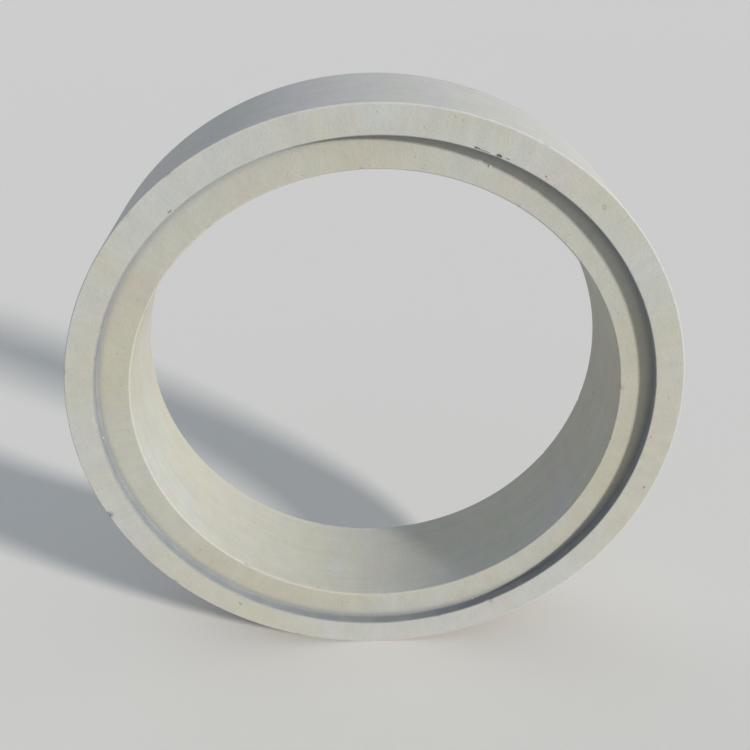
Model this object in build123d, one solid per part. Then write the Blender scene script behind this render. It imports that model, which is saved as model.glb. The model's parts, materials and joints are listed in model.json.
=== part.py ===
from build123d import *
import os

# A short concrete pipe for drains and sewers, cast in one piece and lying on its side.
# The bore runs along Y, and the grooved end faces -Y.
# The origin is on the ground, under the middle of the pipe.

# Driving dimensions, in millimetres
bore_diameter = 1000.0      # clear bore, the same from end to end
wall_thickness = 125.0      # from the bore to the outside
body_length = 250.0         # from the face of the lip to the shoulder at the back

# The groove, a step round the inside of the front end, which leaves the lip standing
lip_thickness = 58.0
groove_depth = 22.0

# The tongue, which stands out at the back and enters the groove of the next pipe
joint_side_clearance = 5.0  # round the tongue, inside the next pipe's lip
joint_end_clearance = 3.0   # between the tongue's end and the floor of the next pipe's groove

# Edges left by the mould: the lip's are rounded, the others are cut off at 45 degrees
lip_outer_radius = 4.0
lip_inner_radius = 3.0
bore_chamfer = 3.0          # both ends of the bore
shoulder_chamfer = 4.0      # outer edge of the back end
root_chamfer = 3.0          # in the corners at the bottom of the groove and of the tongue
nose_chamfer = 5.0          # lead-in on the outer edge of the tongue's end

# Radii
bore_radius = bore_diameter / 2
outer_radius = bore_radius + wall_thickness
groove_radius = outer_radius - lip_thickness
tongue_radius = groove_radius - joint_side_clearance

# Places along the pipe, counted from its middle
tongue_length = groove_depth - joint_end_clearance
lip_face = -(body_length + tongue_length) / 2
groove_floor = lip_face + groove_depth
shoulder = lip_face + body_length
tongue_end = shoulder + tongue_length

# Corners of the wall's section, as a radius and a place along the pipe
lip_inner = (groove_radius, lip_face)
lip_outer = (outer_radius, lip_face)
shoulder_outer = (outer_radius, shoulder)
tongue_root = (tongue_radius, shoulder)
tongue_nose = (tongue_radius, tongue_end)
bore_back = (bore_radius, tongue_end)
bore_front = (bore_radius, groove_floor)
groove_root = (groove_radius, groove_floor)


def corner_of(section, place):
    """Find the section's corner at a place."""
    return section.vertices().sort_by_distance((*place, 0))[0]


def wall_section():
    """Draw the wall's section, with the radius along X and the bore along Y."""
    outline = Polyline(
        lip_inner,
        lip_outer,
        shoulder_outer,
        tongue_root,
        tongue_nose,
        bore_back,
        bore_front,
        groove_root,
        close=True,
    )
    section = make_face(outline)
    rounded = {
        lip_inner: lip_inner_radius,
        lip_outer: lip_outer_radius,
    }
    for place, radius in rounded.items():
        section = fillet(corner_of(section, place), radius)
    cut_off = {
        shoulder_outer: shoulder_chamfer,
        tongue_root: root_chamfer,
        tongue_nose: nose_chamfer,
        bore_back: bore_chamfer,
        bore_front: bore_chamfer,
        groove_root: root_chamfer,
    }
    for place, length in cut_off.items():
        section = chamfer(corner_of(section, place), length)
    return section


def concrete_pipe():
    """Turn the section round the bore's axis and set the pipe down on the ground."""
    turned = revolve(wall_section(), Axis.Y)
    return Pos(0, 0, outer_radius) * turned


os.makedirs("parts", exist_ok=True)
export_step(concrete_pipe(), "parts/concrete_pipe.step")
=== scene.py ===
import json
import math

import bpy
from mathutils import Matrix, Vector


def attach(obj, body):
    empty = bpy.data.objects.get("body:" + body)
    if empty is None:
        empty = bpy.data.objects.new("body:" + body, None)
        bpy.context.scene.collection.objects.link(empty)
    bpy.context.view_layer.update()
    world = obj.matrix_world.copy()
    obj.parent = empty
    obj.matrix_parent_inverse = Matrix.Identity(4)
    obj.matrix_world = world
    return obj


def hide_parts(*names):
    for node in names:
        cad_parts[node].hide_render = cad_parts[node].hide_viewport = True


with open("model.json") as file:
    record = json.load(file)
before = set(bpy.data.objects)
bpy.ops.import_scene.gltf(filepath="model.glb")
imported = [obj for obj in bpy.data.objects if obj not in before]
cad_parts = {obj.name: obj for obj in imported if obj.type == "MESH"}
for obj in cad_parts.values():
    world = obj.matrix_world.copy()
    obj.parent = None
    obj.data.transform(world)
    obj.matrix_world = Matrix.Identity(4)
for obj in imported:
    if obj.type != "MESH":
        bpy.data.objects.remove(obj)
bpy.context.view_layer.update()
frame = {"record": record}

# Sizes, in metres, read from the frame: the pipe lies along Y with its groove towards -Y
mounts = {mount["name"]: mount for mount in frame["record"]["mounts"]}


def mountRadius(name):
    return mounts[name]["dims"]["r_mm"] / 1000


def mountPlace(name):
    return mounts[name]["pos_m"][1]


axisHeight = mounts["bore"]["pos_m"][2]
boreRadius = mountRadius("bore")
grooveRadius = mountRadius("groove")
tongueRadius = mountRadius("tongue")
outerRadius = mountRadius("outside")
lipFace = mountPlace("lip_face")
shoulder = mountPlace("shoulder_face")
tongueEnd = mountPlace("tongue_end")
halfBore = mounts["bore"]["dims"]["length_mm"] / 2000
boreChamfer = tongueEnd - mountPlace("bore") - halfBore
grooveFloor = mountPlace("bore") - halfBore - boreChamfer
print("sizes read: bore", boreRadius, "outside", outerRadius, "from", lipFace, "to", tongueEnd)


class Wire:  # an output that can stand in a sum
    def __init__(self, maker, socket):
        self.maker = maker
        self.socket = socket

    def other(self, name):
        return Wire(self.maker, self.socket.node.outputs[name])

    def __add__(self, value):
        return self.maker.maths("ADD", self, value)

    def __radd__(self, value):
        return self.maker.maths("ADD", value, self)

    def __sub__(self, value):
        return self.maker.maths("SUBTRACT", self, value)

    def __rsub__(self, value):
        return self.maker.maths("SUBTRACT", value, self)

    def __mul__(self, value):
        return self.maker.maths("MULTIPLY", self, value)

    def __rmul__(self, value):
        return self.maker.maths("MULTIPLY", value, self)

    def __truediv__(self, value):
        return self.maker.maths("DIVIDE", self, value)


class NodeMaker:
    def __init__(self, tree):
        self.tree = tree

    def node(self, kind, settings=None, values=None, output=0):
        made = self.tree.nodes.new(kind)
        for name, value in (settings or {}).items():
            setattr(made, name, value)
        for name, value in (values or {}).items():
            wires = value if isinstance(value, list) else [value]
            for wire in wires:
                if isinstance(wire, Wire):
                    self.tree.links.new(wire.socket, made.inputs[name])
                else:
                    made.inputs[name].default_value = wire
        return Wire(self, made.outputs[output]) if len(made.outputs) else made

    def maths(self, operation, *values):
        return self.node("ShaderNodeMath", {"operation": operation}, dict(enumerate(values)))

    def larger(self, first, second):
        return self.maths("MAXIMUM", first, second)

    # goes smoothly from start to end while value goes from low to high
    def between(self, value, low, high, start=0, end=1):
        return self.node(
            "ShaderNodeMapRange",
            {"interpolation_type": "SMOOTHSTEP"},
            {"Value": value, "From Min": low, "From Max": high, "To Min": start, "To Max": end},
        )

    def noise(self, vector, scale, detail=2.0, roughness=0.5, distortion=0.0):
        return self.node("ShaderNodeTexNoise", {}, {
            "Vector": vector,
            "Scale": scale,
            "Detail": detail,
            "Roughness": roughness,
            "Distortion": distortion,
        })

    def cells(self, vector, scale):
        return self.node("ShaderNodeTexVoronoi", {"feature": "F1"}, {"Vector": vector, "Scale": scale})

    def split(self, vector):
        parts = self.node("ShaderNodeSeparateXYZ", {}, {"Vector": vector})
        return parts, parts.other("Y"), parts.other("Z")

    def vector(self, x, y, z):
        return self.node("ShaderNodeCombineXYZ", {}, {"X": x, "Y": y, "Z": z})

    def push(self, vector, amount):
        return self.node("ShaderNodeVectorMath", {"operation": "SCALE"}, {0: vector, "Scale": amount})

    def mix(self, share, first, second, way="MIX"):
        settings = {"data_type": "RGBA", "blend_type": way}
        colours = [(*colour, 1) if isinstance(colour, tuple) else colour for colour in (first, second)]
        return self.node("ShaderNodeMix", settings, {0: share, 6: colours[0], 7: colours[1]}, 2)

    def paint(self, colour, roughness, shine, height=None):
        values = {"Base Color": colour, "Roughness": roughness, "Specular IOR Level": shine}
        if height is not None:
            bump = {"Strength": 1.0, "Distance": 1.0, "Height": height}
            values["Normal"] = self.node("ShaderNodeBump", {}, bump)
        shader = self.node("ShaderNodeBsdfPrincipled", {}, values)
        self.node("ShaderNodeOutputMaterial", {}, {"Surface": shader})


def newMaterial(name):
    material = bpy.data.materials.new(name)
    material.use_nodes = True
    material.node_tree.nodes.clear()
    return material, NodeMaker(material.node_tree)


def newTree(name, inputs):
    tree = bpy.data.node_groups.new(name, "GeometryNodeTree")
    tree.interface.new_socket("Geometry", in_out="INPUT", socket_type="NodeSocketGeometry")
    tree.interface.new_socket("Geometry", in_out="OUTPUT", socket_type="NodeSocketGeometry")
    for label, kind in inputs:
        tree.interface.new_socket(label, in_out="INPUT", socket_type=kind)
    maker = NodeMaker(tree)
    return tree, maker, maker.node("NodeGroupInput")


# runs a tree on a mesh and keeps the result as a plain one
def grown(name, mesh, tree, values):
    made = bpy.data.objects.new(name, mesh)
    bpy.context.scene.collection.objects.link(made)
    modifier = made.modifiers.new(tree.name, "NODES")
    modifier.node_group = tree
    for item in tree.interface.items_tree:
        if item.in_out == "INPUT" and item.name in values:
            modifier[item.identifier] = values[item.name]
    graph = bpy.context.evaluated_depsgraph_get()
    plain = bpy.data.meshes.new_from_object(made.evaluated_get(graph))
    made.modifiers.clear()
    made.data = plain
    return made


# The wall's section, turned round the pipe
wallSection = {
    "lipInnerRadius": 0.0015,
    "lipOuterRadius": 0.0025,
    "shoulderRadius": 0.0035,
    "rootRadius": 0.003,
    "noseRadius": 0.005,
    "boreEdgeRadius": 0.003,
    "cornerSteps": 4,
    "firstStep": 0.0009,      # beside a corner, so that its rounding shades crisply
    "secondStep": 0.0034,
    "faceStep": 0.008,        # along the end faces, the groove and the tongue
    "longStep": 0.020,        # along the bore and the outside
    "longRun": 0.1,           # a run longer than this takes the long steps
    "arrisReach": 0.004,      # how far an edge's wear, and its pale colour with a painted highlight, reaches on to its faces
}


# the section's corners in order: radius, place along the pipe, rounding, one for an outer edge
def sectionCorners(sizes):
    return [
        (grooveRadius, lipFace, sizes["lipInnerRadius"], 1),
        (outerRadius, lipFace, sizes["lipOuterRadius"], 1),
        (outerRadius, shoulder, sizes["shoulderRadius"], 1),
        (tongueRadius, shoulder, sizes["rootRadius"], 0),
        (tongueRadius, tongueEnd, sizes["noseRadius"], 1),
        (boreRadius, tongueEnd, sizes["boreEdgeRadius"], 1),
        (boreRadius, grooveFloor, sizes["boreEdgeRadius"], 1),
        (grooveRadius, grooveFloor, sizes["rootRadius"], 0),
    ]


def runPlaces(run, sizes):
    pace = sizes["longStep"] if run > sizes["longRun"] else sizes["faceStep"]
    inner = run - 2 * sizes["secondStep"]
    count = max(1, round(inner / pace))
    middle = [sizes["secondStep"] + inner * step / count for step in range(count + 1)]
    return [sizes["firstStep"], *middle, run - sizes["firstStep"]]


# each point is a radius, a place along the pipe and how near it is to an outer edge
def sectionPoints(sizes):
    corners = sectionCorners(sizes)
    points = []
    for index, (radius, place, rounding, outer) in enumerate(corners):
        nextCorner = corners[(index + 1) % len(corners)]
        corner = Vector((radius, place))
        comeIn = (Vector(corners[index - 1][:2]) - corner).normalized()
        goOut = (Vector(nextCorner[:2]) - corner).normalized()
        middle = corner + (comeIn + goOut) * rounding
        for step in range(sizes["cornerSteps"] + 1):
            turn = step / sizes["cornerSteps"] * math.pi / 2
            arc = middle - (goOut * math.cos(turn) + comeIn * math.sin(turn)) * rounding
            points.append((arc.x, arc.y, outer))
        start = corner + goOut * rounding
        run = (Vector(nextCorner[:2]) - corner).length - rounding - nextCorner[2]
        for along in runPlaces(run, sizes):
            nearStart = outer * max(0, 1 - along / sizes["arrisReach"])
            nearEnd = nextCorner[3] * max(0, 1 - (run - along) / sizes["arrisReach"])
            point = start + goOut * along
            points.append((point.x, point.y, max(nearStart, nearEnd)))
    return points


castWall = {
    "mostTriangles": 196000,
    "rippleHeight": 0.0005,   # how uneven the faces are
    "rippleScale": 9.0,
    "wearDepth": 0.0016,      # small losses along the edges
    "wearScale": 38.0,
    "wearRange": (0.60, 0.74),
    "wearSeed": 3.7,
    "roughScale": 150.0,      # breaks up the outline and the floor of the chips
    "roughSeed": 9.1,
    "seed": 4.0,
    "raggedness": 1.1,
    "chipEdge": (0.45, 0.75), # the shares of its length between which a chip runs out
    "chipFlatness": 2.0,      # how much shorter it is along the pipe than round it
    "chipOnFace": 0.25,       # the share of its depth that is left away from the edge
    "chips": [                # angle in degrees, going up from the right of the lip
        {"edge": "shoulder", "angle": 76.1, "length": 0.010, "depth": 0.0042},
        {"edge": "shoulder", "angle": 75.0, "length": 0.011, "depth": 0.0045},
        {"edge": "shoulder", "angle": 72.2, "length": 0.015, "depth": 0.0048},
        {"edge": "shoulder", "angle": 16.0, "length": 0.016, "depth": 0.0042},
        {"edge": "lipInner", "angle": 67.9, "length": 0.008, "depth": 0.0016},
        {"edge": "lipInner", "angle": 297.0, "length": 0.011, "depth": 0.0026},
        {"edge": "lipOuter", "angle": 203.0, "length": 0.012, "depth": 0.0030},
        {"edge": "tongueNose", "angle": 148.0, "length": 0.022, "depth": 0.0048},
        {"edge": "tongueNose", "angle": 322.0, "length": 0.016, "depth": 0.0042},
    ],
}
chippedEdges = {
    "lipInner": (grooveRadius, lipFace),
    "lipOuter": (outerRadius, lipFace),
    "shoulder": (outerRadius, shoulder),
    "tongueNose": (tongueRadius, tongueEnd),
}


def wallTree(material):
    tree, maker, given = newTree("sweptWall", [
        ("Turns", "NodeSocketInt"),
        ("Path Radius", "NodeSocketFloat"),
        ("Axis Height", "NodeSocketFloat"),
        ("Ripple Height", "NodeSocketFloat"),
        ("Ripple Scale", "NodeSocketFloat"),
        ("Wear Depth", "NodeSocketFloat"),
        ("Wear Scale", "NodeSocketFloat"),
        ("Seed", "NodeSocketFloat"),
    ])
    section = maker.node("GeometryNodeMeshToCurve", {}, {"Mesh": given.other("Geometry")})
    path = maker.node("GeometryNodeCurvePrimitiveCircle", {"mode": "RADIUS"}, {
        "Resolution": given.other("Turns"),
        "Radius": given.other("Path Radius"),
    })
    swept = maker.node("GeometryNodeCurveToMesh", {}, {"Curve": path, "Profile Curve": section})
    laid = maker.node("GeometryNodeTransform", {}, {
        "Geometry": swept,
        "Translation": maker.vector(0, 0, given.other("Axis Height")),
        "Rotation": (math.pi / 2, 0, 0),
    })

    place = maker.node("GeometryNodeInputPosition")
    across, along, height = maker.split(place)
    up = height - given.other("Axis Height")
    arris = maker.node("GeometryNodeInputNamedAttribute", {"data_type": "FLOAT"}, {"Name": "arris"})

    def seeded(scale, shift, detail):
        return maker.node("ShaderNodeTexNoise", {"noise_dimensions": "4D"}, {
            "Vector": place,
            "W": given.other("Seed") + shift,
            "Scale": scale,
            "Detail": detail,
        })

    ripple = (seeded(given.other("Ripple Scale"), 0.0, 2.0) - 0.5) * given.other("Ripple Height")
    rough = seeded(castWall["roughScale"], castWall["roughSeed"], 2.0)
    wear = seeded(given.other("Wear Scale"), castWall["wearSeed"], 3.0)
    worn = maker.between(wear, *castWall["wearRange"]) * arris
    lost = worn * given.other("Wear Depth")
    atEdge = maker.between(arris, 0.0, 0.5, castWall["chipOnFace"], 1.0)
    for chip in castWall["chips"]:
        radius, lengthwise = chippedEdges[chip["edge"]]
        angle = math.radians(chip["angle"])
        offX = across - radius * math.cos(angle)
        offY = (along - lengthwise) * castWall["chipFlatness"]
        offZ = up - radius * math.sin(angle)
        away = maker.maths("SQRT", offX * offX + offY * offY + offZ * offZ)
        ragged = away / chip["length"] + (rough - 0.5) * castWall["raggedness"]
        hit = maker.between(ragged, *castWall["chipEdge"], 1, 0)
        lost = maker.larger(lost, hit * atEdge * chip["depth"])
        worn = maker.larger(worn, hit)
    marked = maker.node("GeometryNodeStoreNamedAttribute", {"data_type": "FLOAT", "domain": "POINT"}, {
        "Geometry": laid,
        "Name": "broken",
        "Value": worn,
    })
    normal = maker.node("GeometryNodeInputNormal")
    uneven = 0.75 + rough * 0.5  # around 1
    moved = maker.node("GeometryNodeSetPosition", {}, {
        "Geometry": marked,
        "Offset": maker.push(normal, ripple - lost * uneven),
    })
    smooth = maker.node("GeometryNodeSetShadeSmooth", {}, {"Geometry": moved})
    whole = maker.node("GeometryNodeRealizeInstances", {}, {"Geometry": smooth})
    dressed = maker.node("GeometryNodeSetMaterial", {}, {"Geometry": whole, "Material": material})
    maker.node("NodeGroupOutput", {}, {"Geometry": dressed})
    return tree


def castPipe():
    points = sectionPoints(wallSection)
    turns = int(castWall["mostTriangles"] / 2 / len(points))
    mesh = bpy.data.meshes.new("wallSection")
    loop = [(index, (index + 1) % len(points)) for index in range(len(points))]
    mesh.from_pydata([(radius - outerRadius, place, 0) for radius, place, edge in points], loop, [])
    arris = mesh.attributes.new("arris", "FLOAT", "POINT")
    arris.data.foreach_set("value", [float(edge) for radius, place, edge in points])
    pipe = grown("cast_wall", mesh, wallTree(concrete()), {
        "Turns": turns,
        "Path Radius": outerRadius,
        "Axis Height": axisHeight,
        "Ripple Height": castWall["rippleHeight"],
        "Ripple Scale": castWall["rippleScale"],
        "Wear Depth": castWall["wearDepth"],
        "Wear Scale": castWall["wearScale"],
        "Seed": castWall["seed"],
    })
    print("pipe swept:", len(points), "points round", turns, "steps,", len(pipe.data.polygons), "faces")
    return pipe


# The concrete
castConcrete = {
    "warm": (0.500, 0.482, 0.412),
    "cool": (0.498, 0.502, 0.470),
    "rosy": (0.515, 0.474, 0.440),
    "formSide": (0.540, 0.522, 0.494),       # the outside, smooth from the form
    "formShare": 0.85,
    "recessTint": (0.965, 0.950, 0.905),
    "grooveCorner": (0.232, 0.250, 0.272),   # painted shade on the groove's side and root corner, a cool grey like shade
    # shares of the painted shade at the groove's corner and on its side
    "cornerDirt": 0.62,
    "sideDirt": 0.33,
    "brokenFace": (0.330, 0.320, 0.285),
    "brokenShare": 0.75,
    # the colour of the small chips on the lip, near black as painted shade inside them
    "scarFace": (0.110, 0.105, 0.100),
    "scarEdge": (0.55, 1.05),                # the shares of its size between which a mark runs out
    # pale arrises: partly rubbed edges, partly a painted highlight along the rounded edges
    "cleanArris": (0.640, 0.635, 0.590),
    "cleanShare": 0.18,
    "pinkTint": (0.09, -0.06, 0.04),         # on red, green and blue
    "yellowTint": (0.0, 0.05, -0.16),
    "rayPace": 0.35,                         # how soon a streak changes outwards
    "ringPace": 1.2,                         # and round the pipe
    "ringWidth": 34.0,                       # how closely the rings lie along it
    "roughness": 0.86,
    "unevenRoughness": 0.12,
    "shine": 0.32,
    "contrasts": {            # what each pattern adds to the light and dark
        "patch": 0.20,
        "sand": 0.13,
        "backSand": 0.23,
        "fine": 0.10,
        "streak": 0.13,
        "curvedStreak": 0.08,
        # the pin-holes' darkening is painted shade
        "pits": 0.42,
    },
    "depths": {               # and how deep it is, in metres
        "sand": 0.00048,
        "backSand": 0.0009,
        "brokenSand": 0.0014,
        "fine": 0.00030,
        "streak": 0.00012,
        "pits": 0.0011,
        "scars": 0.0022,
    },
    "patterns": {             # scale, detail, roughness and distortion of each noise
        "patch": (23.0, 4.0, 0.62),
        "sand": (170.0, 3.0, 0.7),
        "fine": (620.0, 2.0, 0.7),
        "rays": (46.0, 3.0, 0.6),
        "rings": (3.2, 4.0, 0.65),
        "clouds": (2.6, 3.0, 0.55),
        "rosyClouds": (5.5, 3.0, 0.6, 0.6),
        "pinkish": (27.0, 3.0, 0.6, 0.4),
        "yellowish": (15.0, 3.0, 0.6),
    },
    "largeHoles": {"scale": 74.0, "chance": 0.72, "size": 0.20, "onFront": 0.28},
    "smallHoles": {"scale": 210.0, "chance": (0.78, 0.86), "size": (0.20, 0.34), "onFront": 0.16},
    "blends": {               # from where to where beside an edge of the section each look fades
        "outside": (-0.0040, -0.0015),
        "bore": (0.0015, 0.0040),
        "back": (-0.0040, -0.0010),
        "groove": (0.0010, 0.0040),
        "recess": (-0.0005, 0.0010),
        # where the painted shade in the groove begins and ends
        "dirtyCorner": (-0.022, -0.001),
        "dirtySide": (-0.0030, -0.0015),
        "dirtEnd": (0.0012, 0.0030),
        "scarEnd": (0.003, 0.006),
    },
    "scars": [                # on the lip: angle, radius, half length round it, half width, how dark
        (72.15, 0.5712, 0.0052, 0.0020, 0.85),
        (70.60, 0.5704, 0.0150, 0.0008, 0.60),
        (67.90, 0.5714, 0.0062, 0.0026, 0.90),
        (66.20, 0.5722, 0.0060, 0.0013, 0.55),
        (58.30, 0.5760, 0.0030, 0.0024, 0.40),
        (46.20, 0.5980, 0.0070, 0.0050, 0.17),
        (131.0, 0.5730, 0.0055, 0.0018, 0.50),
        (-122.0, 0.5890, 0.0050, 0.0040, 0.30),
        (-19.0, 0.6060, 0.0042, 0.0030, 0.35),
    ],
}


def comesIn(maker, name, value, edge):
    low, high = castConcrete["blends"][name]
    return maker.between(value, edge + low, edge + high)


def goesOut(maker, name, value, edge):
    low, high = castConcrete["blends"][name]
    return maker.between(value, edge + low, edge + high, 1, 0)


# pin-holes where air was caught against the form, more of them on the back end
def pinHoles(maker, place, back):
    large = castConcrete["largeHoles"]
    cells = maker.cells(place, large["scale"])
    chance = maker.node("ShaderNodeSeparateColor", {}, {"Color": cells.other("Color")})
    size = maker.between(chance, large["chance"], 1.0, 0.0, large["size"])
    holes = maker.between(cells - size, -0.05, 0.0, 1, 0) * maker.between(size, 0.02, 0.05)
    small = castConcrete["smallHoles"]
    cells = maker.cells(place, small["scale"])
    chance = maker.node("ShaderNodeSeparateColor", {}, {"Color": cells.other("Color")})
    specks = maker.between(cells, *small["size"], 1, 0) * maker.between(chance, *small["chance"])
    holes = holes * (large["onFront"] + back * (1 - large["onFront"]))
    specks = specks * (small["onFront"] + back * (1 - small["onFront"]))
    return maker.larger(holes, specks)


# small chips on the lip, with painted shade inside them
def lipScars(maker, across, along, up, radius, ragged):
    angle = maker.maths("ARCTAN2", up, across)
    scars = 0
    for degrees, ring, halfLength, halfWidth, darkness in castConcrete["scars"]:
        lengthwise = (angle - math.radians(degrees)) * (ring / halfLength)
        crosswise = (radius - ring) / halfWidth
        reach = maker.maths("SQRT", lengthwise * lengthwise + crosswise * crosswise) + ragged
        scars = maker.larger(maker.between(reach, *castConcrete["scarEdge"], darkness, 0), scars)
    return scars * goesOut(maker, "scarEnd", along, lipFace)


# painted shade: how far the groove's side and the corner at its root are darkened, as shade falls there
def grooveShade(maker, radius, inGroove, patch):
    corner = comesIn(maker, "dirtyCorner", radius, grooveRadius)
    side = comesIn(maker, "dirtySide", radius, grooveRadius)
    within = goesOut(maker, "dirtEnd", radius, grooveRadius)
    uneven = maker.between(patch, 0.25, 0.65, 0.75, 1.0)
    share = castConcrete["cornerDirt"] + side * castConcrete["sideDirt"]
    return corner * corner * within * inGroove * uneven * share


# each of these is 1 on its own part of the surface and 0 elsewhere
def surfaceParts(maker, along, radius):
    outside = comesIn(maker, "outside", radius, outerRadius)
    bore = goesOut(maker, "bore", radius, boreRadius)
    curved = maker.larger(outside, bore)
    back = comesIn(maker, "back", along, shoulder) * (1 - curved)
    inGroove = goesOut(maker, "groove", along, grooveFloor)
    recess = inGroove * goesOut(maker, "recess", radius, grooveRadius)
    return outside, curved, back, inGroove, recess


def concrete():
    material, maker = newMaterial("castConcrete")
    look = castConcrete
    contrasts = look["contrasts"]
    depths = look["depths"]
    patterns = look["patterns"]
    place = maker.node("ShaderNodeTexCoord", output="Object")
    across, along, height = maker.split(place)
    up = height - axisHeight
    radius = maker.maths("SQRT", across * across + up * up)
    outside, curved, back, inGroove, recess = surfaceParts(maker, along, radius)
    arris = maker.node("ShaderNodeAttribute", {"attribute_name": "arris"}, output="Fac")
    broken = maker.node("ShaderNodeAttribute", {"attribute_name": "broken"}, output="Fac")

    # blotches, sand and fine grain, around zero
    patch = maker.noise(place, *patterns["patch"])
    blotch = patch - 0.5
    sand = maker.noise(place, *patterns["sand"]) - 0.5
    fine = maker.noise(place, *patterns["fine"]) - 0.5

    # streaks, outwards on the end faces and round the pipe on the bore and the outside
    outwards = maker.vector(across / radius, radius * look["rayPace"], up / radius)
    roundPipe = maker.vector(
        across * look["ringPace"], along * look["ringWidth"], up * look["ringPace"]
    )
    rays = maker.noise(outwards, *patterns["rays"])
    rings = maker.noise(roundPipe, *patterns["rings"])
    streak = rays * (1 - curved) + rings * curved - 0.5

    # large clouds of warm, cool and rosy tone
    clouds = maker.between(maker.noise(place, *patterns["clouds"]), 0.40, 0.62)
    rosyClouds = maker.between(maker.noise(place, *patterns["rosyClouds"]), 0.52, 0.72, 0, 0.6)
    tone = maker.mix(clouds, look["warm"], look["cool"])
    tone = maker.mix(rosyClouds, tone, look["rosy"])
    tone = maker.mix(outside * look["formShare"], tone, look["formSide"])

    # light and dark, with small pinkish and yellowish tints
    pits = pinHoles(maker, place, back)
    light = 1.0 + blotch * contrasts["patch"] + fine * contrasts["fine"]
    light = light + sand * (contrasts["sand"] + back * contrasts["backSand"])
    light = light + streak * (contrasts["streak"] + curved * contrasts["curvedStreak"])
    # painted shade: the pin-holes darkened as if shade fell in them
    light = light * (1 - pits * contrasts["pits"])
    pinkish = maker.noise(place, *patterns["pinkish"]) - 0.5
    yellowish = maker.noise(outwards, *patterns["yellowish"]) - 0.5
    tinted = [
        light * (1 + pinkish * pink + yellowish * yellow)
        for pink, yellow in zip(look["pinkTint"], look["yellowTint"])
    ]
    tint = maker.node("ShaderNodeCombineColor", {}, dict(zip(("Red", "Green", "Blue"), tinted)))
    colour = maker.mix(1.0, tone, tint, "MULTIPLY")
    colour = maker.mix(recess, colour, look["recessTint"], "MULTIPLY")

    # what happened to it since, with painted shade in the groove and the chips and a painted highlight
    # along the edges
    scars = lipScars(maker, across, along, up, radius, sand * 1.3 + blotch * 0.8)
    # pale arrises, partly rubbed edges and partly a painted highlight
    edgeRubAndSheen = maker.between(arris, 0.6, 1.0, 0, look["cleanShare"]) * (1 - broken)
    # painted shade: the groove's side and the corner at its root darkened to a cool grey
    colour = maker.mix(grooveShade(maker, radius, inGroove, patch), colour, look["grooveCorner"])
    colour = maker.mix(edgeRubAndSheen, colour, look["cleanArris"])
    colour = maker.mix(broken * look["brokenShare"], colour, look["brokenFace"])
    # painted shade inside the small chips on the lip
    colour = maker.mix(scars, colour, look["scarFace"])

    relief = sand * (depths["sand"] + back * depths["backSand"] + broken * depths["brokenSand"])
    relief = relief + fine * depths["fine"] + streak * depths["streak"]
    relief = relief - pits * depths["pits"] - scars * depths["scars"]
    maker.paint(colour, look["roughness"] + blotch * look["unevenRoughness"], look["shine"], relief)
    return material


# Crumbs of cement that stuck to the faces
cementCrumbs = {
    "density": 60.0,
    "smallest": 0.0007,
    "largest": 0.0021,
    "lowest": 0.03,           # none where the pipe stands
    "fadeIn": 0.05,           # the height over which they begin
    "clusterScale": 7.0,
    "clusterRange": (0.50, 0.66),
    "lumpiness": 1.2,
    "inRecess": {"angle": 68.0, "radius": 0.544, "size": 0.0026},
    "seed": 11,
    "colour": (0.60, 0.59, 0.54),
    "contrast": 0.24,
    "grainScale": 420.0,
    "grainDepth": 0.0004,
    "roughness": 0.9,
    "shine": 0.3,
}


def crumbMaterial():
    material, maker = newMaterial("cementCrumb")
    place = maker.node("ShaderNodeTexCoord", output="Object")
    grain = maker.noise(place, cementCrumbs["grainScale"], 3.0, 0.6) - 0.5
    light = 1.0 + grain * cementCrumbs["contrast"]
    grey = maker.node("ShaderNodeCombineColor", {}, {"Red": light, "Green": light, "Blue": light})
    colour = maker.mix(1.0, cementCrumbs["colour"], grey, "MULTIPLY")
    relief = grain * cementCrumbs["grainDepth"]
    maker.paint(colour, cementCrumbs["roughness"], cementCrumbs["shine"], relief)
    return material


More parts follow.
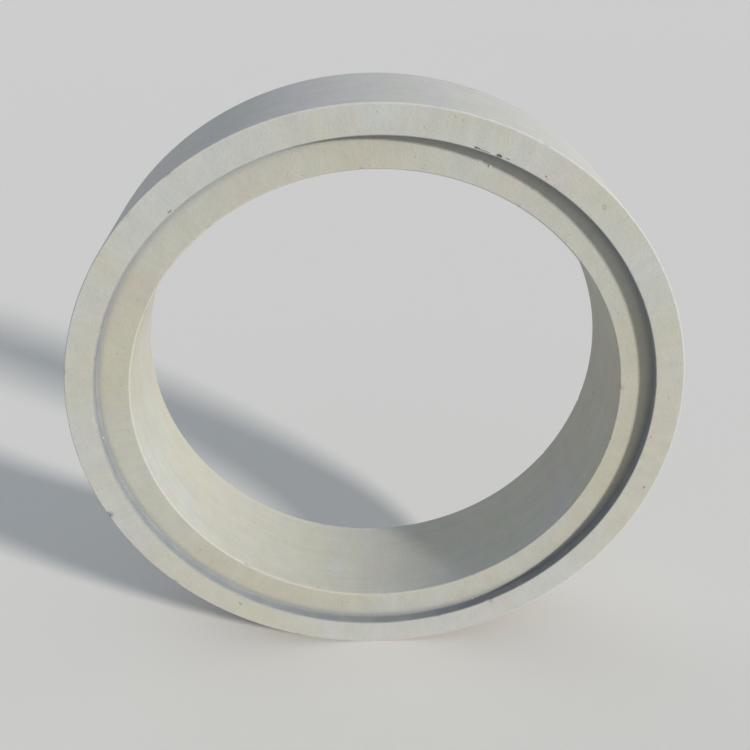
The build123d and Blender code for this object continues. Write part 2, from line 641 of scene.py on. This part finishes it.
def crumbTree(material):
    tree, maker, given = newTree("scatteredCrumbs", [
        ("Density", "NodeSocketFloat"),
        ("Smallest", "NodeSocketFloat"),
        ("Largest", "NodeSocketFloat"),
        ("Lowest", "NodeSocketFloat"),
        ("Seed", "NodeSocketInt"),
    ])
    place = maker.node("GeometryNodeInputPosition")
    across, along, height = maker.split(place)
    clustered = maker.between(
        maker.noise(place, cementCrumbs["clusterScale"]), *cementCrumbs["clusterRange"]
    )
    begun = given.other("Lowest") + cementCrumbs["fadeIn"]
    allowed = maker.between(height, given.other("Lowest"), begun)
    points = maker.node("GeometryNodeDistributePointsOnFaces", {"distribute_method": "RANDOM"}, {
        "Mesh": given.other("Geometry"),
        "Density": given.other("Density") * clustered * allowed,
        "Seed": given.other("Seed"),
    })
    size = maker.node("FunctionNodeRandomValue", {"data_type": "FLOAT"}, {
        2: given.other("Smallest"),
        3: given.other("Largest"),
        "Seed": given.other("Seed"),
    }, 1)
    turn = maker.node("FunctionNodeRandomValue", {"data_type": "FLOAT_VECTOR"}, {
        0: (0, 0, 0),
        1: (math.tau, math.tau, math.tau),
        "Seed": given.other("Seed"),
    })
    ball = maker.node("GeometryNodeMeshIcoSphere", {}, {"Radius": 1.0, "Subdivisions": 2})
    swell = (maker.noise(place, 1.1) - 0.5) * cementCrumbs["lumpiness"]
    normal = maker.node("GeometryNodeInputNormal")
    lump = maker.node("GeometryNodeSetPosition", {}, {
        "Geometry": ball,
        "Offset": maker.push(normal, swell),
    })
    spot = cementCrumbs["inRecess"]
    angle = math.radians(spot["angle"])
    single = maker.node("GeometryNodePoints", {}, {
        "Count": 1,
        "Position": (
            spot["radius"] * math.cos(angle),
            grooveFloor,
            axisHeight + spot["radius"] * math.sin(angle),
        ),
    })
    many = maker.node("GeometryNodeInstanceOnPoints", {}, {
        "Points": points,
        "Instance": lump,
        "Rotation": turn,
        "Scale": size,
    })
    one = maker.node("GeometryNodeInstanceOnPoints", {}, {
        "Points": single,
        "Instance": lump,
        "Scale": (spot["size"], spot["size"], spot["size"]),
    })
    joined = maker.node("GeometryNodeJoinGeometry", {}, {"Geometry": [one, many]})
    whole = maker.node("GeometryNodeRealizeInstances", {}, {"Geometry": joined})
    smooth = maker.node("GeometryNodeSetShadeSmooth", {}, {"Geometry": whole})
    dressed = maker.node("GeometryNodeSetMaterial", {}, {"Geometry": smooth, "Material": material})
    maker.node("NodeGroupOutput", {}, {"Geometry": dressed})
    return tree


def crumbsOn(pipe):
    crumbs = grown("cement_crumbs", pipe.data.copy(), crumbTree(crumbMaterial()), {
        "Density": cementCrumbs["density"],
        "Smallest": cementCrumbs["smallest"],
        "Largest": cementCrumbs["largest"],
        "Lowest": cementCrumbs["lowest"],
        "Seed": cementCrumbs["seed"],
    })
    print("crumbs placed:", len(crumbs.data.polygons), "faces")
    return crumbs


# Floor, light and camera
studio = {
    "floorSize": 60.0,
    "floorColour": (0.800, 0.762, 0.712),
    "floorWave": (0.75, 0.72, 0.68),  # its faint second tone
    "floorWaveScale": 1.5,
    "floorWaveShare": 0.04,
    "floorRoughness": 0.9,
    "floorShine": 0.1,
    "worldColour": (0.66, 0.82, 1.0),
    "worldStrength": 0.14,
    "backColour": (0.86, 0.86, 0.85),
    "lamps": {                # towards the lamp, degrees across, strength, colour
        "softSun": ((0.75, -0.579, 0.345), 7.0, 3.35, (1.0, 0.985, 0.95)),
        "topLight": ((0, 0, 1), 110.0, 0.84, (0.81, 0.895, 1.0)),
        "backLight": ((-0.45, 0.80, 0.42), 70.0, 0.55, (0.84, 0.91, 1.0)),
    },
}
camera = {
    "fromAxis": -0.0595,      # to the left of the bore's axis
    "inFront": 1.670,         # before the face of the lip
    "above": 1.008,           # above the bore's axis
    "aimHeight": 0.64,        # the point looked at, straight over the origin
    "lens": 46.0,
    "sensor": 36.0,
}


def paleFloor():
    half = studio["floorSize"] / 2
    corners = [(-half, -half, 0), (half, -half, 0), (half, half, 0), (-half, half, 0)]
    mesh = bpy.data.meshes.new("floor")
    mesh.from_pydata(corners, [], [(0, 1, 2, 3)])
    material, maker = newMaterial("paleFloor")
    place = maker.node("ShaderNodeTexCoord", output="Object")
    wave = maker.noise(place, studio["floorWaveScale"]) * studio["floorWaveShare"]
    colour = maker.mix(wave, studio["floorColour"], studio["floorWave"])
    maker.paint(colour, studio["floorRoughness"], studio["floorShine"])
    mesh.materials.append(material)
    floor = bpy.data.objects.new("floor", mesh)
    bpy.context.scene.collection.objects.link(floor)


def softLight():
    for name, (direction, angle, strength, colour) in studio["lamps"].items():
        lamp = bpy.data.lights.new(name, "SUN")
        lamp.angle = math.radians(angle)
        lamp.energy = strength
        lamp.color = colour
        holder = bpy.data.objects.new(name, lamp)
        holder.rotation_euler = Vector(direction).to_track_quat("Z", "Y").to_euler()
        bpy.context.scene.collection.objects.link(holder)
    world = bpy.data.worlds.new("studioWorld")
    bpy.context.scene.world = world
    world.use_nodes = True
    world.node_tree.nodes.clear()
    maker = NodeMaker(world.node_tree)
    path = maker.node("ShaderNodeLightPath")
    seen = maker.larger(path.other("Is Camera Ray"), path.other("Is Glossy Ray"))
    seen = maker.larger(seen, path.other("Is Transmission Ray"))
    dim = maker.node("ShaderNodeBackground", {}, {
        "Color": (*studio["worldColour"], 1),
        "Strength": studio["worldStrength"],
    })
    pale = maker.node("ShaderNodeBackground", {}, {"Color": (*studio["backColour"], 1), "Strength": 1.0})
    both = maker.node("ShaderNodeMixShader", {}, {0: seen, 1: dim, 2: pale})
    maker.node("ShaderNodeOutputWorld", {}, {"Surface": both})


def viewCamera():
    lens = bpy.data.cameras.new("viewCamera")
    lens.lens = camera["lens"]
    lens.sensor_width = camera["sensor"]
    holder = bpy.data.objects.new("viewCamera", lens)
    holder.location = (camera["fromAxis"], lipFace - camera["inFront"], axisHeight + camera["above"])
    aim = Vector((0, 0, camera["aimHeight"]))
    holder.rotation_euler = (aim - holder.location).to_track_quat("-Z", "Y").to_euler()
    bpy.context.scene.collection.objects.link(holder)
    bpy.context.scene.camera = holder


pipe = castPipe()
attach(pipe, "root")
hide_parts("concrete_pipe")

crumbs = crumbsOn(pipe)
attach(crumbs, "root")

paleFloor()
softLight()
viewCamera()
bpy.context.scene.view_settings.view_transform = "Standard"
print("studio set")
